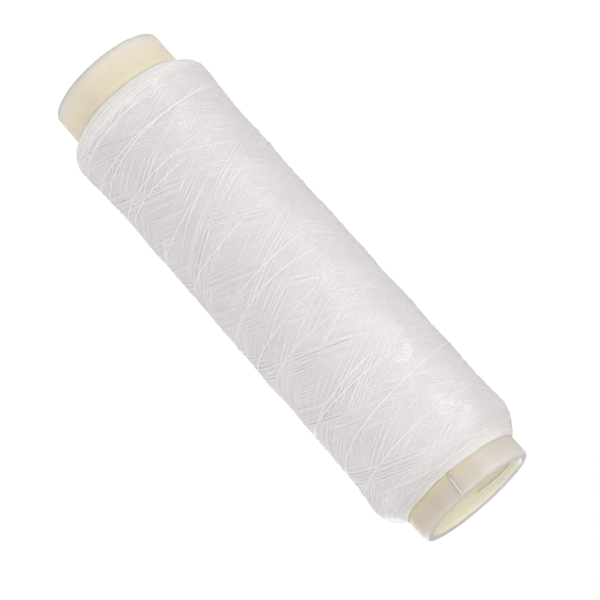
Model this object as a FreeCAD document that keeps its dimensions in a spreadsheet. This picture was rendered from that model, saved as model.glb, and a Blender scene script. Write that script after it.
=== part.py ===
import FreeCAD, Part
import math
import os
import Sketcher

# Crosswound spool of elastic thread on an open plastic tube.
# The spool stands on its lower end. Z runs up the tube's axis, and the origin is the
# middle of the lower rim. The open end with the loose thread is the upper one, and the
# loose thread crosses the rim on the -Y side. All sizes are in millimetres.

# Driving sizes. The winding's depths are measured from the tube's outer wall.
SIZES = {
    # the tube
    "tube_length": 75.0,
    "tube_outer_diameter": 17.0,
    "tube_wall": 1.3,
    # the upper rim is well rounded, the lower one only has its edge taken off
    "upper_lip_radius": 0.5,
    "lower_lip_radius": 0.15,
    # bare tube left at each end
    "bare_tube_lower": 5.0,
    "bare_tube_upper": 3.3,
    # ridges where the thread turns back, near both ends of the winding
    "lower_ridge_depth": 2.17,
    "lower_ridge_width": 2.85,
    "lower_ridge_radius": 2.3,
    "upper_ridge_depth": 2.27,
    "upper_ridge_width": 3.85,
    "upper_ridge_radius": 3.4,
    # the nearly straight barrel between the ridges
    "lower_barrel_depth": 1.75,
    "lower_barrel_offset": 12.65,
    "upper_barrel_depth": 1.96,
    "upper_barrel_offset": 5.85,
    # the thread
    "thread_diameter": 0.18,
    "thread_clearance": 0.03,
    # length of the loose thread that is covered by the winding's shoulder
    "covered_thread": 0.35,
}

# The loose thread's route: azimuth about Z in degrees, height above the rim, and the
# wall that the thread follows. Two heights are words: "winding" is just below the
# winding's upper edge, and "lip" is a corner where the thread goes over the lip. A curl
# also follows the inside wall, and is where the thread runs round it.
TAIL_ROUTE = [
    (-84.6, "winding", "outside"),
    (-83.3, -1.55, "outside"),
    (-82.3, "lip", "outside"),
    (-82.5, "lip", "inside"),
    (-84.0, -1.00, "curl"),
    (-90.5, -1.75, "curl"),
    (-101.0, -2.25, "curl"),
    (-116.0, -2.44, "curl"),
    (-134.0, -2.34, "curl"),
    (-154.0, -1.98, "curl"),
    (-175.0, -1.54, "curl"),
    (-196.0, -1.21, "curl"),
    (-217.0, -1.12, "curl"),
    (-237.0, -1.27, "curl"),
    (-254.0, -1.44, "curl"),
    (-265.0, -1.60, "inside"),
]
# Share of the shorter run that each arc of the route takes up on both its sides.
ARC_SHARE = 0.45

doc = FreeCAD.newDocument("thread_spool")


def vector(x, y, z=0.0):
    return FreeCAD.Vector(x, y, z)


def make_sheet():
    sheet = doc.addObject("Spreadsheet::Sheet", "Sizes")
    for row, (alias, value) in enumerate(SIZES.items(), start=1):
        sheet.set(f"A{row}", alias)
        sheet.set(f"B{row}", str(value))
        sheet.setAlias(f"B{row}", alias)
    doc.recompute()
    return sheet


sheet = make_sheet()


def size(alias):
    return float(sheet.get(alias))


def origin_plane(body, role):
    return next(part for part in body.Origin.OriginFeatures if part.Role == role)


def new_body(label):
    body = doc.addObject("PartDesign::Body", label)
    body.Label = label
    return body


def new_sketch(body, name, plane):
    sketch = body.newObject("Sketcher::SketchObject", name)
    sketch.AttachmentSupport = [(origin_plane(body, plane), "")]
    sketch.MapMode = "FlatFace"
    return sketch


def bind(sketch, constraint, expression):
    """Adds a constraint and ties its value to an expression on the sheet."""
    index = sketch.addConstraint(constraint)
    sketch.setExpression(f"Constraints[{index}]", expression)
    return index


# core_tube: a plain tube with both rims rounded, inside and outside, the lower one less

TUBE_RADIUS = "Sizes.tube_outer_diameter / 2"
BORE_RADIUS = "(Sizes.tube_outer_diameter / 2 - Sizes.tube_wall)"
# two lips share the wall, so each takes less than half of it
LIP_SHARE = 0.45


def lip_radius(alias):
    return min(size(alias), LIP_SHARE * size("tube_wall"))


def flat_edges(shape, height):
    """Names of the edges that lie flat at this height."""
    return [
        f"Edge{number}"
        for number, edge in enumerate(shape.Edges, start=1)
        if edge.BoundBox.ZLength < 1e-6 and abs(edge.BoundBox.ZMin - height) < 1e-6
    ]


def make_tube():
    body = new_body("core_tube")
    ring = new_sketch(body, "tube_section", "XY_Plane")
    radius = size("tube_outer_diameter") / 2
    for start, expression in (
        (radius, TUBE_RADIUS),
        (radius - size("tube_wall"), BORE_RADIUS),
    ):
        circle = ring.addGeometry(Part.Circle(vector(0, 0), vector(0, 0, 1), start))
        ring.addConstraint(Sketcher.Constraint("Coincident", circle, 3, -1, 1))
        bind(ring, Sketcher.Constraint("Radius", circle, start), expression)
    pad = body.newObject("PartDesign::Pad", "tube_wall_pad")
    pad.Profile = ring
    pad.Length = size("tube_length")
    pad.setExpression("Length", "Sizes.tube_length")
    doc.recompute()
    solid = pad
    for name, height, alias in (
        ("upper_lips", size("tube_length"), "upper_lip_radius"),
        ("lower_lips", 0.0, "lower_lip_radius"),
    ):
        lips = body.newObject("PartDesign::Fillet", name)
        lips.Base = (solid, flat_edges(solid.Shape, height))
        lips.Radius = lip_radius(alias)
        lips.setExpression("Radius", f"min(Sizes.{alias}; {LIP_SHARE} * Sizes.tube_wall)")
        doc.recompute()
        solid = lips
    ring.Visibility = False
    return body


# thread_package: the whole winding as one solid of revolution. Each end has a shoulder
# that leans inwards, a ridge where the thread turns back, and a long hollow that runs
# from the ridge into the barrel.


def tangent_point(start, centre, radius, side):
    """Where a line from start touches the circle; side picks one of the two points."""
    away = start - centre
    reach = math.acos(radius / away.Length)
    angle = math.atan2(away.y, away.x) + side * reach
    return centre + vector(math.cos(angle), math.sin(angle)) * radius


def hollow_centre(end, normal, centre, radius):
    """Centre of the arc that leaves the barrel's end and touches the ridge from outside."""
    gap = end - centre
    hollow = (gap.Length ** 2 - radius ** 2) / (2 * (radius - gap.dot(normal)))
    return end + normal * hollow


def arc_from_to(centre, start, end):
    """An arc that runs anticlockwise about its centre from start to end."""
    first = math.atan2(start.y - centre.y, start.x - centre.x)
    last = math.atan2(end.y - centre.y, end.x - centre.x)
    circle = Part.Circle(centre, vector(0, 0, 1), (start - centre).Length)
    return Part.ArcOfCircle(circle, first, last if last > first else last + 2 * math.pi)


def make_package():
    body = new_body("thread_package")
    profile = new_sketch(body, "winding_section", "XZ_Plane")
    tube_radius = size("tube_outer_diameter") / 2
    lower_edge = vector(tube_radius, size("bare_tube_lower"))
    upper_edge = vector(tube_radius, size("tube_length") - size("bare_tube_upper"))
    lower_radius = size("lower_ridge_radius")
    upper_radius = size("upper_ridge_radius")
    lower_ridge = lower_edge + vector(
        size("lower_ridge_depth") - lower_radius, size("lower_ridge_width")
    )
    upper_ridge = upper_edge + vector(
        size("upper_ridge_depth") - upper_radius, -size("upper_ridge_width")
    )
    lower_barrel = vector(
        tube_radius + size("lower_barrel_depth"),
        lower_ridge.y + size("lower_barrel_offset"),
    )
    upper_barrel = vector(
        tube_radius + size("upper_barrel_depth"),
        upper_ridge.y - size("upper_barrel_offset"),
    )
    along = (upper_barrel - lower_barrel).normalize()
    outward = vector(along.y, -along.x)
    lower_hollow = hollow_centre(lower_barrel, outward, lower_ridge, lower_radius)
    upper_hollow = hollow_centre(upper_barrel, outward, upper_ridge, upper_radius)
    lower_touch = tangent_point(lower_edge, lower_ridge, lower_radius, 1)
    upper_touch = tangent_point(upper_edge, upper_ridge, upper_radius, -1)
    lower_turn = lower_ridge + (lower_hollow - lower_ridge).normalize() * lower_radius
    upper_turn = upper_ridge + (upper_hollow - upper_ridge).normalize() * upper_radius

    bore, lower_shoulder, lower_arc, lower_sweep, barrel, upper_sweep, upper_arc, upper_shoulder = [
        profile.addGeometry(piece)
        for piece in (
            Part.LineSegment(upper_edge, lower_edge),
            Part.LineSegment(lower_edge, lower_touch),
            arc_from_to(lower_ridge, lower_touch, lower_turn),
            arc_from_to(lower_hollow, lower_barrel, lower_turn),
            Part.LineSegment(lower_barrel, upper_barrel),
            arc_from_to(upper_hollow, upper_turn, upper_barrel),
            arc_from_to(upper_ridge, upper_turn, upper_touch),
            Part.LineSegment(upper_touch, upper_edge),
        )
    ]
    profile.addConstraint(
        [
            Sketcher.Constraint("Vertical", bore),
            Sketcher.Constraint("Coincident", bore, 2, lower_shoulder, 1),
            Sketcher.Constraint("Coincident", upper_shoulder, 2, bore, 1),
            Sketcher.Constraint("Tangent", lower_shoulder, 2, lower_arc, 1),
            Sketcher.Constraint("Tangent", lower_arc, 2, lower_sweep, 2),
            Sketcher.Constraint("Tangent", lower_sweep, 1, barrel, 1),
            Sketcher.Constraint("Tangent", barrel, 2, upper_sweep, 2),
            Sketcher.Constraint("Tangent", upper_sweep, 1, upper_arc, 1),
            Sketcher.Constraint("Tangent", upper_arc, 2, upper_shoulder, 1),
        ]
    )
    lower_height = "Sizes.bare_tube_lower"
    upper_height = "(Sizes.tube_length - Sizes.bare_tube_upper)"
    lower_crest = f"({lower_height} + Sizes.lower_ridge_width)"
    upper_crest = f"({upper_height} - Sizes.upper_ridge_width)"
    bind(
        profile,
        Sketcher.Constraint("Radius", lower_arc, lower_radius),
        "Sizes.lower_ridge_radius",
    )
    bind(
        profile,
        Sketcher.Constraint("Radius", upper_arc, upper_radius),
        "Sizes.upper_ridge_radius",
    )
    for geometry, point, place, across, up in (
        (bore, 1, upper_edge, TUBE_RADIUS, upper_height),
        (bore, 2, lower_edge, None, lower_height),
        (
            lower_arc,
            3,
            lower_ridge,
            f"{TUBE_RADIUS} + Sizes.lower_ridge_depth - Sizes.lower_ridge_radius",
            lower_crest,
        ),
        (
            upper_arc,
            3,
            upper_ridge,
            f"{TUBE_RADIUS} + Sizes.upper_ridge_depth - Sizes.upper_ridge_radius",
            upper_crest,
        ),
        (
            barrel,
            1,
            lower_barrel,
            f"{TUBE_RADIUS} + Sizes.lower_barrel_depth",
            f"{lower_crest} + Sizes.lower_barrel_offset",
        ),
        (
            barrel,
            2,
            upper_barrel,
            f"{TUBE_RADIUS} + Sizes.upper_barrel_depth",
            f"{upper_crest} - Sizes.upper_barrel_offset",
        ),
    ):
        if across:
            distance = Sketcher.Constraint("DistanceX", -1, 1, geometry, point, place.x)
            bind(profile, distance, across)
        distance = Sketcher.Constraint("DistanceY", -1, 1, geometry, point, place.y)
        bind(profile, distance, up)
    turned = body.newObject("PartDesign::Revolution", "winding")
    turned.Profile = profile
    turned.ReferenceAxis = (profile, ["V_Axis"])
    turned.Angle = 360.0
    profile.Visibility = False
    return body


# thread_tail: the loose thread that leaves the winding, crosses the upper rim and curls
# round inside the mouth. It lies on the wall all the way.


def wall_offset():
    """From a wall to the middle of the thread that lies on it."""
    return size("thread_diameter") / 2 + size("thread_clearance")


def lip_arc_radius():
    """Radius of the thread's middle line where it goes round a lip."""
    return lip_radius("upper_lip_radius") + wall_offset()


def curl_corner(wall_distance, azimuth_before, azimuth_after):
    """Distance of a curl's corner from the axis. The corner stands out past the thread's
    distance, because the runs and arcs beside it pass inside it."""
    half_step = math.radians(azimuth_before - azimuth_after) / 4
    return wall_distance / math.cos(half_step)


def tail_points():
    """The route's points, each with the radius of its arc if a lip sets that."""
    offset = wall_offset()
    outside = size("tube_outer_diameter") / 2 + offset
    inside = size("tube_outer_diameter") / 2 - size("tube_wall") - offset
    heights = {
        "winding": -size("bare_tube_upper") - size("covered_thread"),
        "lip": offset,
    }
    points = []
    for index, (azimuth, height, wall) in enumerate(TAIL_ROUTE):
        distance = outside if wall == "outside" else inside
        if wall == "curl":
            before, after = TAIL_ROUTE[index - 1][0], TAIL_ROUTE[index + 1][0]
            distance = curl_corner(inside, before, after)
        angle = math.radians(azimuth)
        place = vector(
            distance * math.cos(angle),
            distance * math.sin(angle),
            size("tube_length") + heights.get(height, height),
        )
        points.append((place, lip_arc_radius() if height == "lip" else None))
    return points


def rounded_route(points):
    """Straight runs joined by tangent arcs, one arc for each inner point."""
    edges = []
    start = points[0][0]
    for (before, _), (corner, lip), (after, _) in zip(points, points[1:], points[2:]):
        back = (before - corner).normalize()
        ahead = (after - corner).normalize()
        reach = ARC_SHARE * min((before - corner).Length, (after - corner).Length)
        half_turn = (math.pi - back.getAngle(ahead)) / 2
        if lip:
            reach = lip * math.tan(half_turn)
        first = corner + back * reach
        last = corner + ahead * reach
        bisector = (back + ahead).normalize()
        arc_radius = reach / math.tan(half_turn)
        middle = corner + bisector * (arc_radius / math.cos(half_turn) - arc_radius)
        edges.append(Part.LineSegment(start, first).toShape())
        edges.append(Part.Arc(first, middle, last).toShape())
        print(f"tail arc radius {arc_radius:.2f} mm")
        start = last
    edges.append(Part.LineSegment(start, points[-1][0]).toShape())
    return Part.Wire(edges)


def make_tail(package):
    route = rounded_route(tail_points())
    first = route.Edges[0]
    section = Part.Wire(
        Part.makeCircle(
            size("thread_diameter") / 2,
            first.valueAt(first.FirstParameter),
            first.tangentAt(first.FirstParameter),
        )
    )
    thread = route.makePipeShell([section], True, False)
    expected = math.pi * (size("thread_diameter") / 2) ** 2 * route.Length
    print(f"tail length {route.Length:.2f} mm, volume {thread.Volume:.4f} of {expected:.4f}")
    tail = doc.addObject("Part::Feature", "thread_tail")
    tail.Label = "thread_tail"
    # the covered first stretch is cut off at the winding's shoulder
    tail.Shape = thread.cut(package.Shape).Solids[-1]
    return tail


def check(objects):
    for item in doc.Objects:
        if {"Invalid", "Error"} & set(item.State):
            raise RuntimeError(f"{item.Name} is {item.State}")
    for item in objects:
        if item.Shape.isNull() or not item.Shape.isValid() or not item.Shape.Solids:
            raise RuntimeError(f"{item.Label} has no valid solid")


def main():
    tube = make_tube()
    package = make_package()
    doc.recompute()
    tail = make_tail(package)
    parts = [tube, package, tail]
    for part in parts:
        part.Placement = FreeCAD.Placement()
    doc.recompute()
    check(parts)
    os.makedirs("parts", exist_ok=True)
    for part in parts:
        part.Shape.exportStep(f"parts/{part.Label}.step")
        print(f"{part.Label}: {part.Shape.Volume:.3f} mm3")


main()
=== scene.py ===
import math

import bmesh
import bpy
import numpy as np
from mathutils import Matrix, Vector


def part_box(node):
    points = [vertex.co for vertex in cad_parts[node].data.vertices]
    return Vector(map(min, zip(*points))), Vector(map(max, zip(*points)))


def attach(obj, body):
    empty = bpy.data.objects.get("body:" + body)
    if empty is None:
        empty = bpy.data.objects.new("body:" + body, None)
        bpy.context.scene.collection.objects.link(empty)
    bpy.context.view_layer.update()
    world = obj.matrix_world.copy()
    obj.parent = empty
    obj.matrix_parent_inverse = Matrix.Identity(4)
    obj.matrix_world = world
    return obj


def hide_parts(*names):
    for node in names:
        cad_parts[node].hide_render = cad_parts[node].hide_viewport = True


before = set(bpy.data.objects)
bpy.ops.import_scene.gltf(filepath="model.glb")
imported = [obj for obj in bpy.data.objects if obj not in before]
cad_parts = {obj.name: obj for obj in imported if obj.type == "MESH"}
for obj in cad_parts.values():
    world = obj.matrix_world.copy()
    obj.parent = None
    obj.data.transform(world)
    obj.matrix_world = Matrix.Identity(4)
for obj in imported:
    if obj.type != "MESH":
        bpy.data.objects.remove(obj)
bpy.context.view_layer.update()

# Lengths below are in millimetres and are turned into metres where a mesh, lamp, camera or material is
# made. Left and right are as seen from the front with the spool upright, so left is towards -X
MM = 0.001
SPOOL_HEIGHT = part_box("core_tube")[1].z / MM
TUBE_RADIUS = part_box("core_tube")[1].x / MM

# Camera, at the photograph's viewing angle
CAMERA_DISTANCE = 397.4
CAMERA_ELEVATION = math.radians(14.12)
PICTURE_LEAN = math.radians(48.62)
LENS = 183.5
SENSOR = 36.0
CLIP_START = 10.0
AIM_ALONG = 2.58
AIM_ACROSS = -0.25

# The machine passes. Each double pass makes a little over 14/3 turns, so every third one comes down
# beside the first. The soft threads sink into each other: later ones only lie a little higher
SEED = 11
PASSES = 124
TURNS_PER_PASS = 7 / 3 + 0.0041
TURN_SPREAD = 0.006
THREAD_WIDTH = 0.31
THREAD_THICKNESS = 0.09
LIFT = 0.03

# Where the first machine pass starts, how far from the winding's edges each turns back, and over which
# share of the pass it does so
FIRST_START = 1.0
LEAST_MARGIN = 0.3
MARGIN_SPREAD = 4.6
TURNING_SHARE = 0.05

# How the thread wanders along the spool and up and down, with a free value every so many steps, and over
# how many turns this starts and ends
WANDER = 0.20
WANDER_SPACING = 110
STRAND_DEPTH = 0.03
DEPTH_SPACING = 90
FADE_TURNS = 1 / 8

# The last turns, laid slowly by hand down the spool and up again
HAND_TURNS = 14
HAND_EXTRA_TURNS = 0.3
HAND_WIDTH = 0.36
HAND_THICKNESS = 0.11
HAND_LOWER_MARGIN = 5.0
HAND_UPPER_MARGIN = 3.2
HAND_LEAST_MARGIN = 1.5
HAND_TURNING_SHARE = 0.02
HAND_WANDER = 0.35
HAND_DRIFT = 3.0
DRIFT_SPACING = 900

# The rise to the place where the thread goes over into the loose end, on the winding's askew upper edge
LEAVING_TURNS = 0.09
LEAVING_TURNING_SHARE = 0.5
TAIL_AZIMUTH = -84.6
TAIL_HEIGHT = 71.65

# The thread's section, across and up, in shares of its width and thickness: rounded on top, with a foot
# that reaches into the winding
SECTION = [
    (-0.62, -1.3), (-0.4, -0.1), (-0.22, 0.35), (0, 0.5),
    (0.22, 0.35), (0.4, -0.1), (0.62, -1.3), (0, -1.5),
]

# The soft package stands out more on the right side of its upper ridge
RIDGE_LEAN = 0.13
RIDGE_HEIGHT = 68.5
RIDGE_REACH = 3.0

# Both its edges are a little askew: how far each rises and falls, and on which side it is high
UPPER_TILT = 0.32
UPPER_HIGH_SIDE = math.radians(141)
LOWER_HEIGHT = 8.0
LOWER_TILT = 0.22
LOWER_HIGH_SIDE = math.radians(-153)

# Uneven fields over the package, as sums of waves. The first two numbers of a field bound how many waves go
# round the spool, and the other two how many half waves go along it. The upper bounds aren't reached
WAVES = 40
WAVE_SIZE = 0.05
UNEVEN_WAVES = (0, 14, 2, 22)
PATCH_WAVES = (2, 9, 8, 20)
CALM_WAVES = (1, 7, 4, 14)
BARED_WAVES = (1, 4, 3, 12)

# Patches where the threads of one direction lie on top and those of the other are hidden: how deep they are,
# how sharply they end and how far all of it sinks. Round the proud side and its opposite all threads lie
# higher and the patches are deeper
PATCH_DEPTH = 0.034
PATCH_EDGE = 1.3
PATCH_SINK = 0.3
CALM_SHARE = 0.5
SIDE_SHARE = 0.5
PROUD_SIDE = math.radians(-50)

# How far the hand turns come up or sink, and how much more often they come up round the proud side
HAND_LIFT = 0.03
HAND_DEPTH = 0.08
HAND_SIDE_SHARE = 2.5
HAND_SINK = 0.5

# The material is whitest, as painted light, where the thread stands out this far
PROUD = 0.10

# How much fuller the fluffy loose end is than its core, and how white it is outside the bore and in it:
# duller outside, as painted shade where it catches light over the rim, and whitest in the bore, as painted
# light against the shade there. The part in the bore is more than this far under the tube's outer wall
SWELL = 0.03
WELD = 0.001
UNDER_THE_WALL = 0.6
PAINTED_SHADE_OUTSIDE = 0.45
PAINTED_LIGHT_IN_BORE = 1.0

# How finely the pieces are built
STEP = 0.05
AROUND = 1024
SAMPLE_EVERY = 12
PIECES = 2
BODY_COLUMNS = 320
BODY_ROWS = 280
OUTLINE_SMOOTHING = 8
TUBE_CLEARANCE = 0.05


def to_scene(points):
    """Points in millimetres as points in metres."""
    return np.asarray(points, float) * MM


# Camera
def make_camera():
    """The photograph's camera: before the spool, a little above it, and rolled so that the spool leans."""
    rise = math.sin(CAMERA_ELEVATION)
    level = math.cos(CAMERA_ELEVATION)
    up_the_spool = Vector((0, rise, level))
    across_the_spool = Vector((-1, 0, 0))
    backward = Vector((0, -level, rise))
    lean_x = math.cos(PICTURE_LEAN)
    lean_y = math.sin(PICTURE_LEAN)
    right = up_the_spool * lean_x + across_the_spool * lean_y
    up = across_the_spool * lean_x - up_the_spool * lean_y
    middle = Vector((0, 0, SPOOL_HEIGHT / 2))
    place = middle + backward * CAMERA_DISTANCE + up_the_spool * AIM_ALONG + across_the_spool * AIM_ACROSS
    data = bpy.data.cameras.new("camera")
    data.lens = LENS
    data.sensor_width = SENSOR
    data.clip_start = CLIP_START * MM
    camera = bpy.data.objects.new("camera", data)
    rotation = Matrix((right, up, backward)).transposed().to_4x4()
    camera.matrix_world = Matrix.Translation(place * MM) @ rotation
    bpy.context.scene.collection.objects.link(camera)
    bpy.context.scene.camera = camera


make_camera()


# Outline of the winding, read from its CAD node
def outline_of(node):
    """The node's outer outline from its lower end up: distance along it, height and radius."""
    points = np.array([v.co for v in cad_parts[node].data.vertices]) / MM
    heights = np.round(points[:, 2], 3)
    radii = np.hypot(points[:, 0], points[:, 1])
    levels = np.unique(heights)
    reach = np.array([radii[heights == level].max() for level in levels])
    along = np.r_[0, np.cumsum(np.hypot(np.diff(levels), np.diff(reach)))]
    return along, levels, reach


def smoothed(values, width):
    """Values averaged over about this many places, with the ends held."""
    places = np.arange(-3 * width, 3 * width + 1)
    weights = np.exp(-0.5 * (places / width) ** 2)
    padded = np.pad(values, 3 * width, mode="edge")
    return np.convolve(padded, weights / weights.sum(), mode="valid")


class Outline:
    """The winding's outline as smooth curves over the distance along it, and its uneven fields."""

    def __init__(self, node):
        along, levels, reach = outline_of(node)
        self.length = along[-1]
        self.along = np.linspace(0, self.length, int(self.length / STEP) + 1)
        self.height = np.interp(self.along, along, levels)
        self.radius = np.interp(self.along, along, reach)
        rise = smoothed(np.gradient(self.height), OUTLINE_SMOOTHING)
        swell = smoothed(np.gradient(self.radius), OUTLINE_SMOOTHING)
        size = np.hypot(rise, swell)
        self.out_radial = rise / size
        self.out_axial = -swell / size
        rng = np.random.default_rng(SEED)
        self.uneven = self.waves(rng, *UNEVEN_WAVES)
        self.patches = self.waves(rng, *PATCH_WAVES)
        self.calm = self.waves(rng, *CALM_WAVES)
        self.bared = self.waves(rng, *BARED_WAVES)

    def waves(self, rng, least_around, below_around, least_along, below_along):
        """Waves of one field, by their numbers round the spool and along it."""
        around = rng.integers(least_around, below_around, WAVES) * rng.choice([-1, 1], WAVES)
        lengthwise = rng.integers(least_along, below_along, WAVES) * math.pi / self.length
        return list(zip(around, lengthwise, rng.uniform(0, 2 * math.pi, WAVES)))

    def field(self, waves, along, azimuth):
        """The sum of these waves there, with a spread of about 1."""
        total = sum(
            np.cos(around * azimuth + lengthwise * along + phase)
            for around, lengthwise, phase in waves)
        return total * math.sqrt(2 / WAVES)

    def at(self, along, azimuth, outward):
        """Points this far along the outline and outward from it, at these azimuths."""
        radius = np.interp(along, self.along, self.radius)
        height = np.interp(along, self.along, self.height)
        outward = outward + WAVE_SIZE * self.field(self.uneven, along, azimuth)
        on_ridge = np.exp(-((height - RIDGE_HEIGHT) / RIDGE_REACH) ** 2)
        outward = outward + RIDGE_LEAN * np.cos(azimuth) * on_ridge
        upper = np.clip((height - RIDGE_HEIGHT) / RIDGE_REACH, 0, 1)
        lower = np.clip((LOWER_HEIGHT - height) / RIDGE_REACH, 0, 1)
        tilt = UPPER_TILT * upper * np.cos(azimuth - UPPER_HIGH_SIDE)
        tilt = tilt + LOWER_TILT * lower * np.cos(azimuth - LOWER_HIGH_SIDE)
        radius = radius + outward * np.interp(along, self.along, self.out_radial)
        height = height + outward * np.interp(along, self.along, self.out_axial) + tilt
        radius = np.maximum(radius, TUBE_RADIUS + TUBE_CLEARANCE)
        parts = radius * np.cos(azimuth), radius * np.sin(azimuth), height
        return np.stack(np.broadcast_arrays(*parts), axis=-1)

    def outward(self, along, azimuth):
        """The directions straight out of the outline there."""
        radial = np.interp(along, self.along, self.out_radial)
        axial = np.interp(along, self.along, self.out_axial)
        return np.stack([radial * np.cos(azimuth), radial * np.sin(azimuth), axial], axis=-1)


outline = Outline("thread_package")


# The winding
def eased(count, share):
    """A way from 0 to 1 at an even pace that starts and ends gently, over this share of it."""
    time = np.linspace(0, 1, count)
    pace = np.clip(np.minimum(time, 1 - time) / share, 0, 1)
    pace = pace * pace * (3 - 2 * pace)
    way = np.r_[0, np.cumsum((pace[1:] + pace[:-1]) / 2)]
    return way / way[-1]


def soft_noise(rng, count, spacing):
    """Smooth noise of about unit size, with one free value every so many places."""
    knots = rng.normal(size=count // spacing + 4)
    places = np.arange(count) / spacing
    return smoothed(np.interp(places, np.arange(len(knots)), knots), spacing // 2)


def all_passes(rng):
    """Every pass in turn: its turns, where it ends, how gently it turns back, its wander and thickness."""
    passes = []
    for number in range(PASSES):
        turns = TURNS_PER_PASS + rng.normal() * TURN_SPREAD
        margin = LEAST_MARGIN + MARGIN_SPREAD * rng.random()
        goal = outline.length - margin if number % 2 == 0 else margin
        passes.append((turns, goal, TURNING_SHARE, WANDER, THREAD_THICKNESS))
    down = HAND_TURNS + HAND_EXTRA_TURNS, HAND_LOWER_MARGIN
    up = HAND_TURNS, outline.length - HAND_UPPER_MARGIN
    leaving = np.interp(TAIL_HEIGHT, outline.height, outline.along)
    passes.append((*down, HAND_TURNING_SHARE, HAND_WANDER, HAND_THICKNESS))
    passes.append((*up, HAND_TURNING_SHARE, HAND_WANDER, HAND_THICKNESS))
    passes.append((LEAVING_TURNS, leaving, LEAVING_TURNING_SHARE, 0.0, HAND_THICKNESS))
    return passes


def wind():
    """Winds the thread and returns each pass: its azimuths, its ways along the outline, its thickness, and
    how far its places come up."""
    rng = np.random.default_rng(SEED)
    plan = all_passes(rng)
    counts = [int(turns * AROUND) for turns, *_ in plan]
    column = round(TAIL_AZIMUTH / 360 * AROUND) - sum(counts) + len(counts)
    way = FIRST_START
    passes = []
    for count, (turns, goal, gentle, wander, thickness) in zip(counts, plan):
        line = way + (goal - way) * eased(count, gentle)
        from_an_end = np.minimum(np.arange(count), np.arange(count)[::-1])
        fade = np.minimum(1, from_an_end / (AROUND * FADE_TURNS))
        line = line + wander * fade * soft_noise(rng, count, WANDER_SPACING)
        rise = STRAND_DEPTH * soft_noise(rng, count, DEPTH_SPACING)
        # The two long passes laid by hand also drift
        if thickness == HAND_THICKNESS and count > AROUND:
            line = line + HAND_DRIFT * fade * soft_noise(rng, count, DRIFT_SPACING)
            line = np.clip(line, HAND_LEAST_MARGIN, outline.length - HAND_LEAST_MARGIN)
        azimuth = (column + np.arange(count)) * (2 * math.pi / AROUND)
        passes.append((azimuth, line, thickness, rise))
        column = column + count - 1
        way = line[-1]
    return passes


def mesh_of(name, points, quads, others=()):
    """A smooth mesh object made of these points and faces."""
    mesh = bpy.data.meshes.new(name)
    sizes = [4] * len(quads) + [len(face) for face in others]
    corners = np.concatenate([quads.ravel(), *[np.array(face) for face in others]]).astype(np.int32)
    mesh.vertices.add(len(points))
    mesh.vertices.foreach_set("co", points.astype(np.float32).ravel())
    mesh.loops.add(len(corners))
    mesh.loops.foreach_set("vertex_index", corners)
    mesh.polygons.add(len(sizes))
    starts = np.r_[0, np.cumsum(sizes)[:-1]].astype(np.int32)
    mesh.polygons.foreach_set("loop_start", starts)
    mesh.polygons.foreach_set("use_smooth", np.ones(len(sizes), bool))
    mesh.update(calc_edges=True)
    mesh.validate()
    thing = bpy.data.objects.new(name, mesh)
    bpy.context.scene.collection.objects.link(thing)
    return thing


def keep_rise(mesh, rises):
    """Keeps with each point how far it stands out, from 0 to 1, for the material, which paints shade and
    light by it.
    """
    rises = np.asarray(rises).ravel().astype(np.float32)
    mesh.attributes.new("rise", "FLOAT", "POINT").data.foreach_set("value", rises)


def thread_mesh(name, centres, outward, width, thickness, lift):
    """A flattened thread along these points. Outward is the direction of its thickness at each point, and
    the lift is how far the point was brought up."""
    ahead = np.gradient(centres, axis=0)
    ahead /= np.linalg.norm(ahead, axis=1)[:, None]
    side = np.cross(ahead, outward)
    side /= np.linalg.norm(side, axis=1)[:, None]
    top = np.cross(side, ahead)
    across, up = np.array(SECTION).T
    points = centres[:, None] + up[None, :, None] * (top * thickness[:, None])[:, None]
    points = points + across[None, :, None] * (side * width)[:, None]
    sides = len(SECTION)
    first = np.arange(len(centres) - 1)[:, None] * sides
    here = np.arange(sides)[None]
    after = (here + 1) % sides
    faces = np.stack([first + here, first + sides + here, first + sides + after, first + after], axis=-1)
    last = (len(centres) - 1) * sides
    ends = [list(range(sides)), [last + i for i in range(sides)][::-1]]
    thing = mesh_of(name, to_scene(points.reshape(-1, 3)), faces.reshape(-1, 4), ends)
    height = lift[:, None] + up[None] * thickness[:, None]
    keep_rise(thing.data, 0.5 + 0.5 * np.clip(height / PROUD, -1, 1))
    return thing


def patch_lift(along, azimuth, number):
    """How far the thread of this pass comes up or sinks. Each direction of the machine passes has its own
    patches where it lies on top, with calm places between."""
    side = SIDE_SHARE * np.cos(2 * (azimuth - PROUD_SIDE))
    if number >= PASSES:
        bared = outline.field(outline.bared, along, azimuth)
        return HAND_LIFT + HAND_DEPTH * np.tanh(bared + HAND_SIDE_SHARE * side - HAND_SINK)
    sign = 1 if number % 2 == 0 else -1
    one_way = np.tanh(PATCH_EDGE * sign * outline.field(outline.patches, along, azimuth))
    calm = np.tanh(outline.field(outline.calm, along, azimuth))
    return PATCH_DEPTH * (one_way * (1 + side) + CALM_SHARE * calm + side - PATCH_SINK)


def thread_along(name, first, last, width):
    """One flattened thread along the passes from the first to the one before the last."""
    centres, normals, thicknesses, lifts = [], [], [], []
    for number in range(first, last):
        azimuth, line, thickness, rise = passes[number]
        keep = np.unique(np.r_[np.arange(0, len(line), SAMPLE_EVERY), len(line) - 1])[:-1]
        lift = LIFT * number / len(passes) + patch_lift(line[keep], azimuth[keep], number) + rise[keep]
        lifts.append(lift)
        centres.append(outline.at(line[keep], azimuth[keep], lift))
        normals.append(outline.outward(line[keep], azimuth[keep]))
        thicknesses.append(np.full(len(keep), thickness))
    return thread_mesh(
        name, np.concatenate(centres), np.concatenate(normals), width, np.concatenate(thicknesses),
        np.concatenate(lifts))


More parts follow.
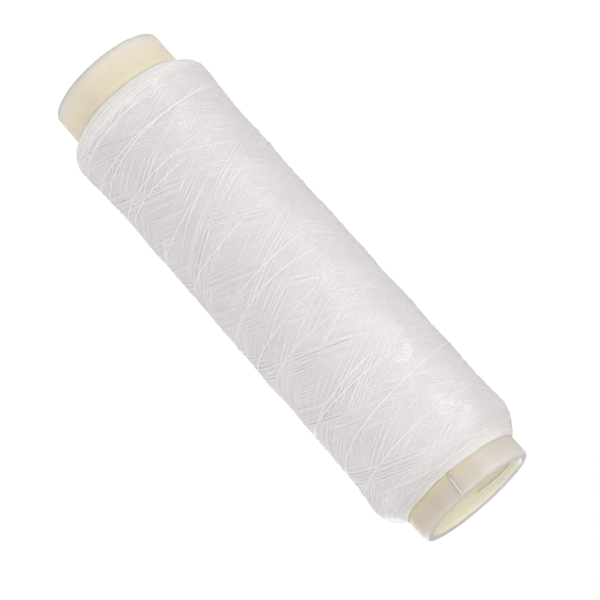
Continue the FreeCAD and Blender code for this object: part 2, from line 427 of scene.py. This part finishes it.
def body_under(name):
    """The older winding under the last passes: a closed ring."""
    ways = np.linspace(0, outline.length, BODY_ROWS)
    azimuths = np.linspace(0, 2 * math.pi, BODY_COLUMNS, endpoint=False)
    outer = outline.at(ways[:, None], azimuths[None], 0.0)
    ring = TUBE_RADIUS * np.cos(azimuths), TUBE_RADIUS * np.sin(azimuths)
    low = np.stack([*ring, outer[0, :, 2]], axis=-1)
    high = np.stack([*ring, outer[-1, :, 2]], axis=-1)
    rows = np.concatenate([low[None], outer, high[None]])
    count = len(azimuths)
    first = np.arange(len(rows))[:, None] * count
    following = (np.roll(np.arange(len(rows)), -1) * count)[:, None]
    here = np.arange(count)[None]
    after = (here + 1) % count
    faces = np.stack([first + here, first + after, following + after, following + here], axis=-1)
    return mesh_of(name, to_scene(rows.reshape(-1, 3)), faces.reshape(-1, 4))


def fuller_copy(name, node):
    """A copy of a node that is a little fuller all round, for a fluffy thread with a thin core."""
    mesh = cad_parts[node].data.copy()
    mesh.name = name
    mesh.materials.clear()
    shape = bmesh.new()
    shape.from_mesh(mesh)
    bmesh.ops.remove_doubles(shape, verts=shape.verts, dist=WELD * MM)
    shape.normal_update()
    normals = [vertex.normal.copy() for vertex in shape.verts]
    for vertex, normal in zip(shape.verts, normals):
        vertex.co = vertex.co + normal * SWELL * MM
    shape.to_mesh(mesh)
    shape.free()
    places = np.array([vertex.co for vertex in mesh.vertices]) / MM
    inside = np.hypot(places[:, 0], places[:, 1]) < TUBE_RADIUS - UNDER_THE_WALL
    # Whitest in the bore and duller outside it, as painted light and shade, not by how far it stands out
    keep_rise(mesh, np.where(inside, PAINTED_LIGHT_IN_BORE, PAINTED_SHADE_OUTSIDE))
    thing = bpy.data.objects.new(name, mesh)
    bpy.context.scene.collection.objects.link(thing)
    return thing


# Colours
BLACK = (0, 0, 0, 1)
WHITE = (1, 1, 1, 1)

# The thread in its grooves, at its usual height and where it stands out, how high each of these is, and how
# much noise is added to the height. Its colour is darker in the grooves, as painted shade, and whiter where
# it stands out, as painted light. The last turns are whiter still, as painted light
GROOVE_AT = 0.35
LEVEL_AT = 0.6
PROUD_AT = 1.0
HEIGHT_NOISE = 0.2
PASSES_COLOURS = [(0.68, 0.65, 0.65, 1), (0.71, 0.68, 0.675, 1), (0.76, 0.73, 0.725, 1)]
LAST_TURNS_COLOURS = [(0.70, 0.67, 0.67, 1), (0.74, 0.71, 0.705, 1), (0.80, 0.775, 0.77, 1)]
LOOSE_END_COLOURS = [(0.62, 0.58, 0.53, 1), (0.68, 0.64, 0.59, 1), (0.95, 0.92, 0.86, 1)]

# The older winding between its threads, darker as painted shade, and on them, and where it touches the tube,
# lighter and warmer as painted light against the shade in that corner
BETWEEN_AT = 0.1
ON_AT = 0.8
BETWEEN_THREADS = (0.68, 0.65, 0.65, 1)
ON_THREADS = (0.72, 0.69, 0.685, 1)
BY_THE_TUBE_LIGHTENED = (0.80, 0.76, 0.70, 1)

# The thread at the lower edge of the winding, and on the left side of its upper edge, paler as painted light
FOOT_PAINTED_LIGHT = (0.97, 0.95, 0.93, 1)
HEAD_PAINTED_LIGHT = (0.86, 0.825, 0.81, 1)

# The tube: its rims, its bare walls, its upper wall near the winding, its walls at and under the winding's
# edges, and its bore. Much of this is painted light and shade: the lower end is paler than the upper one,
# the upper end is darker on its right side, the upper wall near the winding has a painted warm glow, the
# walls by the winding's edges are lightened against its shade, and the bore is lightened
LOWER_RIM = (0.865, 0.785, 0.69, 1)
LOWER_WALL = (0.825, 0.705, 0.54, 1)
LOWER_EDGE_LIGHTENED = (0.98, 0.85, 0.62, 1)
UPPER_RIM_LEFT = (0.665, 0.65, 0.64, 1)
UPPER_RIM_RIGHT = (0.615, 0.57, 0.52, 1)
UPPER_WALL_LEFT = (0.65, 0.615, 0.55, 1)
UPPER_WALL_RIGHT = (0.61, 0.545, 0.445, 1)
PAINTED_GLOW_LEFT = (0.70, 0.63, 0.50, 1)
PAINTED_GLOW_RIGHT = (0.70, 0.61, 0.40, 1)
UPPER_EDGE_LIGHTENED_LEFT = (0.90, 0.83, 0.68, 1)
UPPER_EDGE_LIGHTENED_RIGHT = (0.70, 0.62, 0.42, 1)
BORE_PAINTED_LIGHT = (0.97, 0.90, 0.78, 1)

# Where the colours change, by the height and by the distance from the axis, as shares of this length
FAR_REACH = 20.0
FOOT_ENDS = (0.25, 0.42)
BY_THE_TUBE_ENDS = (0.427, 0.450)
BORE_EDGE = (0.3608, 0.3655)

# Where they change by the depth under the tube's top, as shares of this length
HEAD_REACH = 10.0
HEAD_ENDS = (0.34, 0.56)

# Where they change by the depth from the tube's nearer end, as shares of this length
END_REACH = 5.0
UPPER_WALL_AT = 0.48
PAINTED_GLOW_AT = (0.45, 0.67)
UPPER_EDGE_LIGHTENED_AT = (0.61, 0.68)
LOWER_EDGE_LIGHTENED_AT = (0.8, 1.0)

# Where they change from the left side, at 0, to the right side, at 1
HEAD_SIDE = (0.2, 0.6)
TUBE_SIDE = (0.0, 0.85)

# Noise, in changes a metre, and the noise at which the gloss, the patches and the tube's tone change
GLOSS_NOISE = 220
PATCH_NOISE = 260
THREAD_NOISE = 300
WOBBLE_NOISE = 350
TUBE_NOISE = 400
GLOSS_CHANGES = (0.4, 0.6)
PATCH_CHANGES = (0.45, 0.55)
TONE_CHANGES = (0.3, 0.7)

# The roughness of the thread's gloss, and the tube's darker tone
GLOSSIEST = 0.3
DULLEST = 0.55
DARKER_TONE = 0.97

# The fine threads in the older winding's material
FINE_STARTS = 85
FINE_PITCH = 0.30
FINE_SLOPE = math.radians(23)
FINE_WOBBLE = 5.0
FINE_DEPTH = 0.03


# Materials
class Tree:
    """A node tree, with short ways to add nodes. Values are sockets, or plain numbers or colours."""

    def __init__(self, tree):
        self.nodes = tree.nodes
        self.links = tree.links

    def give(self, value, socket):
        """Links the socket to this value, or sets it."""
        if hasattr(value, "is_linked"):
            self.links.new(value, socket)
        else:
            socket.default_value = value

    def calculated(self, operation, *values):
        """The result of this operation on the values."""
        node = self.nodes.new("ShaderNodeMath")
        node.operation = operation
        for socket, value in zip(node.inputs, values):
            self.give(value, socket)
        return node.outputs[0]

    def mixed(self, kind, share, first, second):
        """Two colours mixed."""
        node = self.nodes.new("ShaderNodeMix")
        node.data_type = "RGBA"
        node.blend_type = kind
        for name, value in (("Factor", share), ("A", first), ("B", second)):
            self.give(value, [s for s in node.inputs if s.name == name and s.enabled][0])
        return [s for s in node.outputs if s.enabled][0]

    def ramp(self, source, first, last, between=None):
        """A colour that changes as the source grows, given as places with the colours there."""
        node = self.nodes.new("ShaderNodeValToRGB")
        elements = node.color_ramp.elements
        for element, (place, colour) in zip(elements, (first, last)):
            element.position = place
            element.color = colour
        if between:
            elements.new(between[0]).color = between[1]
        self.links.new(source, node.inputs["Fac"])
        return node.outputs["Color"]

    def rising(self, source, low, high):
        """A share that grows from 0 to 1 as the source goes from low to high."""
        return self.ramp(source, (low, BLACK), (high, WHITE))

    def falling(self, source, low, high):
        """A share that shrinks from 1 to 0 as the source goes from low to high."""
        return self.ramp(source, (low, WHITE), (high, BLACK))

    def noise(self, scale, detail=4):
        """Soft noise in the object's own space, with this many changes a metre."""
        place = self.nodes.new("ShaderNodeTexCoord")
        noise = self.nodes.new("ShaderNodeTexNoise")
        noise.inputs["Scale"].default_value = scale
        noise.inputs["Detail"].default_value = detail
        self.links.new(place.outputs["Object"], noise.inputs["Vector"])
        return noise.outputs["Fac"]

    def place(self):
        """The coordinates X, Y and Z in the object's own space, in metres."""
        place = self.nodes.new("ShaderNodeTexCoord")
        parts = self.nodes.new("ShaderNodeSeparateXYZ")
        self.links.new(place.outputs["Object"], parts.inputs[0])
        return parts.outputs

    def share_of(self, length, reach):
        """A length in metres as a share of this reach in millimetres."""
        return self.calculated("MULTIPLY", length, 1 / (reach * MM))

    def under_top(self, place):
        """How far this place is under the tube's top, in metres."""
        return self.calculated("SUBTRACT", SPOOL_HEIGHT * MM, place["Z"])

    def across(self, place):
        """How far this place is across the tube: 0 on its left side and 1 on its right side."""
        return self.calculated("MULTIPLY_ADD", place["X"], 0.5 / (TUBE_RADIUS * MM), 0.5)

    def from_axis(self, place):
        """How far this place is from the spool's axis, as a share of the far reach."""
        across = self.calculated("MULTIPLY", place["X"], place["X"])
        back = self.calculated("MULTIPLY", place["Y"], place["Y"])
        return self.share_of(self.calculated("SQRT", self.calculated("ADD", across, back)), FAR_REACH)


def new_material(name):
    """A material, its node tree and its main shader."""
    material = bpy.data.materials.new(name)
    material.use_nodes = True
    return material, Tree(material.node_tree), material.node_tree.nodes["Principled BSDF"]


def grey(level):
    """A grey of this level."""
    return (level, level, level, 1)


def uneven_gloss(tree, shader):
    """The soft gloss of the thread, glossier in some places than in others."""
    glossy_at, dull_at = GLOSS_CHANGES
    rough = tree.ramp(tree.noise(GLOSS_NOISE, 3), (glossy_at, grey(GLOSSIEST)), (dull_at, grey(DULLEST)))
    tree.give(rough, shader.inputs["Roughness"])
    shader.inputs["IOR"].default_value = 1.6
    shader.inputs["Specular IOR Level"].default_value = 1.0


def painted_light_at_edges(tree, colour):
    """The thread's colour, paler as painted light towards both edges of the winding:
    all round the lower edge, and on the left side of the upper one."""
    place = tree.place()
    foot = tree.falling(tree.share_of(place["Z"], FAR_REACH), *FOOT_ENDS)
    colour = tree.mixed("MIX", foot, colour, FOOT_PAINTED_LIGHT)
    head = tree.falling(tree.share_of(tree.under_top(place), HEAD_REACH), *HEAD_ENDS)
    left = tree.falling(tree.across(place), *HEAD_SIDE)
    share = tree.mixed("MULTIPLY", 1.0, head, left)
    return tree.mixed("MIX", share, colour, HEAD_PAINTED_LIGHT)


def thread_material(name, groove, level, proud):
    """The thread on the outside of the winding: whitish, with a soft gloss, darker in its grooves as painted
    shade and whitest where it stands out as painted light.
    """
    material, tree, shader = new_material(name)
    rise = tree.nodes.new("ShaderNodeAttribute")
    rise.attribute_name = "rise"
    patchy = tree.calculated("MULTIPLY_ADD", tree.noise(THREAD_NOISE), HEIGHT_NOISE, -HEIGHT_NOISE / 2)
    height = tree.calculated("ADD", rise.outputs["Fac"], patchy)
    # Painted shade in the grooves and painted light where the thread stands out
    colour = tree.ramp(height, (GROOVE_AT, groove), (PROUD_AT, proud), (LEVEL_AT, level))
    tree.give(painted_light_at_edges(tree, colour), shader.inputs["Base Color"])
    uneven_gloss(tree, shader)
    return material


def lying_threads(tree, azimuth, height, wobble, starts):
    """Rounded ridges of threads that lie side by side at one slope, as a value from 0 to 1."""
    level = tree.calculated("MULTIPLY", height, math.cos(FINE_SLOPE) / (FINE_PITCH * MM))
    way = tree.calculated("MULTIPLY", azimuth, starts / (2 * math.pi))
    total = tree.calculated("ADD", tree.calculated("ADD", level, way), wobble)
    wave = tree.calculated("SINE", tree.calculated("MULTIPLY", total, math.pi))
    return tree.calculated("ABSOLUTE", wave)


def packed_thread_material():
    """The winding below its last passes: fine threads side by side, in patches of the two directions, with
    painted shade between them and painted light where it meets the tube.
    """
    material, tree, shader = new_material("packed thread")
    place = tree.place()
    azimuth = tree.calculated("ARCTAN2", place["Y"], place["X"])
    wobble = tree.calculated("MULTIPLY", tree.noise(WOBBLE_NOISE, 2), FINE_WOBBLE)
    patches = tree.nodes.new("ShaderNodeMix")
    tree.give(tree.rising(tree.noise(PATCH_NOISE, 3), *PATCH_CHANGES), patches.inputs["Factor"])
    tree.give(lying_threads(tree, azimuth, place["Z"], wobble, FINE_STARTS), patches.inputs["A"])
    tree.give(lying_threads(tree, azimuth, place["Z"], wobble, -FINE_STARTS), patches.inputs["B"])
    ridges = patches.outputs["Result"]
    # Painted shade: darker between the fine threads than on them
    colour = tree.ramp(ridges, (BETWEEN_AT, BETWEEN_THREADS), (ON_AT, ON_THREADS))
    # Painted light: lighter and warmer where the winding meets the tube, against the shade in that corner
    lightened_by_the_tube = tree.falling(tree.from_axis(place), *BY_THE_TUBE_ENDS)
    colour = tree.mixed("MIX", lightened_by_the_tube, colour, BY_THE_TUBE_LIGHTENED)
    tree.give(painted_light_at_edges(tree, colour), shader.inputs["Base Color"])
    bump = tree.nodes.new("ShaderNodeBump")
    bump.inputs["Strength"].default_value = 1.0
    bump.inputs["Distance"].default_value = FINE_DEPTH * MM
    tree.give(ridges, bump.inputs["Height"])
    tree.give(bump.outputs["Normal"], shader.inputs["Normal"])
    uneven_gloss(tree, shader)
    return material


def tube_material():
    """Moulded ivory plastic, a little translucent, paler at its rims. Its colour carries painted light and
    shade: paler at its lower end and in its bore, darker on the right of its upper end, with a painted warm
    glow and painted light by the winding's edges.
    """
    material, tree, shader = new_material("ivory plastic")
    place = tree.place()
    height = place["Z"]
    depth = tree.share_of(tree.calculated("MINIMUM", height, tree.under_top(place)), END_REACH)
    # Painted light: the whole lower end is paler than the upper one
    lower = tree.ramp(depth, (0.0, LOWER_RIM), (1.0, LOWER_WALL))
    # Painted light at and under the winding's lower edge, against the shade it casts
    lower = tree.mixed("MIX", tree.rising(depth, *LOWER_EDGE_LIGHTENED_AT), lower, LOWER_EDGE_LIGHTENED)
    # Painted shade: the upper end is darker on its right side
    side = tree.rising(tree.across(place), *TUBE_SIDE)
    left = tree.ramp(depth, (0.0, UPPER_RIM_LEFT), (UPPER_WALL_AT, UPPER_WALL_LEFT))
    right = tree.ramp(depth, (0.0, UPPER_RIM_RIGHT), (UPPER_WALL_AT, UPPER_WALL_RIGHT))
    # Painted light: a warm glow on the upper wall next to the winding, stronger on the right, for light
    # through the wall
    painted_glow = tree.mixed("MIX", side, PAINTED_GLOW_LEFT, PAINTED_GLOW_RIGHT)
    # Painted light at and under the winding's upper edge, against the shade it casts
    lightened_edge = tree.mixed("MIX", side, UPPER_EDGE_LIGHTENED_LEFT, UPPER_EDGE_LIGHTENED_RIGHT)
    upper = tree.mixed("MIX", side, left, right)
    upper = tree.mixed("MIX", tree.rising(depth, *PAINTED_GLOW_AT), upper, painted_glow)
    upper = tree.mixed("MIX", tree.rising(depth, *UPPER_EDGE_LIGHTENED_AT), upper, lightened_edge)
    outside = tree.mixed("MIX", tree.share_of(height, SPOOL_HEIGHT), lower, upper)
    # Painted light: the bore is paler than the walls outside
    in_bore = tree.falling(tree.from_axis(place), *BORE_EDGE)
    colour = tree.mixed("MIX", in_bore, outside, BORE_PAINTED_LIGHT)
    darker_at, plain_at = TONE_CHANGES
    mottle = tree.ramp(tree.noise(TUBE_NOISE), (darker_at, grey(DARKER_TONE)), (plain_at, WHITE))
    tree.give(tree.mixed("MULTIPLY", 1.0, colour, mottle), shader.inputs["Base Color"])
    shader.inputs["Roughness"].default_value = 0.3
    shader.inputs["Specular IOR Level"].default_value = 0.4
    shader.inputs["Subsurface Weight"].default_value = 1.0
    shader.inputs["Subsurface Radius"].default_value = (1, 0.85, 0.6)
    shader.inputs["Subsurface Scale"].default_value = 2.0 * MM
    return material


def white_where_seen(tree, lit, surface, share, strength):
    """Mixes white light into a surface, for rays from the camera and through glass only."""
    path = tree.nodes.new("ShaderNodeLightPath")
    seen = tree.calculated("MAXIMUM", path.outputs["Is Camera Ray"], path.outputs["Is Transmission Ray"])
    glow = tree.nodes.new("ShaderNodeEmission")
    glow.inputs["Color"].default_value = WHITE
    glow.inputs["Strength"].default_value = strength
    mix = tree.nodes.new("ShaderNodeMixShader")
    tree.give(tree.calculated("MULTIPLY", seen, share), mix.inputs["Fac"])
    tree.give(lit, mix.inputs[1])
    tree.give(glow.outputs[0], mix.inputs[2])
    tree.give(mix.outputs[0], surface)


# The pieces in the frame
def finish_piece(piece, material, node):
    """Gives a piece its material and its place in the frame."""
    piece.data.materials.append(material)
    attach(piece, "root")
    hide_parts(node)


passes = wind()
passes_material = thread_material("elastic thread", *PASSES_COLOURS)
per_piece = math.ceil(PASSES / PIECES)
for number in range(PIECES):
    first = number * per_piece
    piece = thread_along(
        "winding_passes_%d" % (number + 1), first, min(PASSES, first + per_piece), THREAD_WIDTH)
    finish_piece(piece, passes_material, "thread_package")
piece = thread_along("winding_last_turns", PASSES, len(passes), HAND_WIDTH)
finish_piece(piece, thread_material("last turns", *LAST_TURNS_COLOURS), "thread_package")
finish_piece(body_under("winding_body"), packed_thread_material(), "thread_package")
piece = fuller_copy("loose_end", "thread_tail")
finish_piece(piece, thread_material("loose end", *LOOSE_END_COLOURS), "thread_tail")

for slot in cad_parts["core_tube"].material_slots:
    slot.material = tube_material()


# Floor, world and lamps
FLOOR_REACH = 3000.0
FLOOR_COLOUR = grey(0.9)
FLOOR_WHITE_SHARE = 0.9
FLOOR_WHITE = 1.06
WORLD_LIGHT = 0.53
LAMP_DISTANCE = 500

# Each lamp's name, azimuth and elevation in degrees, size, and power in watts
LAMPS = [
    ("key", -54, 6, 250, 0.84),
    ("rim", -44, 42, 80, 0.06),
    ("front", 0, 34, 250, 0.51),
    ("front right", 45, 30, 250, 0.26),
    ("right", 100, 10, 300, 0.38),
    ("back", 155, 10, 300, 0.45),
]


def make_floor():
    """A wide floor at the spool's foot that looks white but takes its shadow."""
    material, tree, shader = new_material("pale floor")
    shader.inputs["Base Color"].default_value = FLOOR_COLOUR
    shader.inputs["Roughness"].default_value = 0.9
    surface = tree.nodes["Material Output"].inputs["Surface"]
    white_where_seen(tree, shader.outputs[0], surface, FLOOR_WHITE_SHARE, FLOOR_WHITE)
    corners = [(-1, -1, 0), (1, -1, 0), (1, 1, 0), (-1, 1, 0)]
    floor = mesh_of("floor", to_scene(corners) * FLOOR_REACH, np.array([[0, 1, 2, 3]]))
    floor.data.materials.append(material)


def make_world():
    """Soft light from all round, seen as white."""
    world = bpy.data.worlds.new("studio")
    bpy.context.scene.world = world
    world.use_nodes = True
    tree = Tree(world.node_tree)
    soft = tree.nodes["Background"]
    soft.inputs["Color"].default_value = WHITE
    soft.inputs["Strength"].default_value = WORLD_LIGHT
    white_where_seen(tree, soft.outputs[0], tree.nodes["World Output"].inputs["Surface"], 1.0, 1.0)


def make_lamp(name, azimuth, elevation, size, power):
    """A square soft lamp that looks at the spool's middle, hidden from the camera."""
    azimuth, elevation = math.radians(azimuth), math.radians(elevation)
    level = math.cos(elevation)
    back = Vector((math.sin(azimuth) * level, -math.cos(azimuth) * level, math.sin(elevation)))
    data = bpy.data.lights.new(name, "AREA")
    data.shape = "SQUARE"
    data.size = size * MM
    data.energy = power
    lamp = bpy.data.objects.new(name, data)
    lamp.location = (Vector((0, 0, SPOOL_HEIGHT / 2)) + back * LAMP_DISTANCE) * MM
    lamp.rotation_mode = "QUATERNION"
    lamp.rotation_quaternion = back.to_track_quat("Z", "Y")
    lamp.visible_camera = False
    bpy.context.scene.collection.objects.link(lamp)


make_floor()
make_world()
for lamp in LAMPS:
    make_lamp(*lamp)

bpy.context.scene.view_settings.view_transform = "Standard"
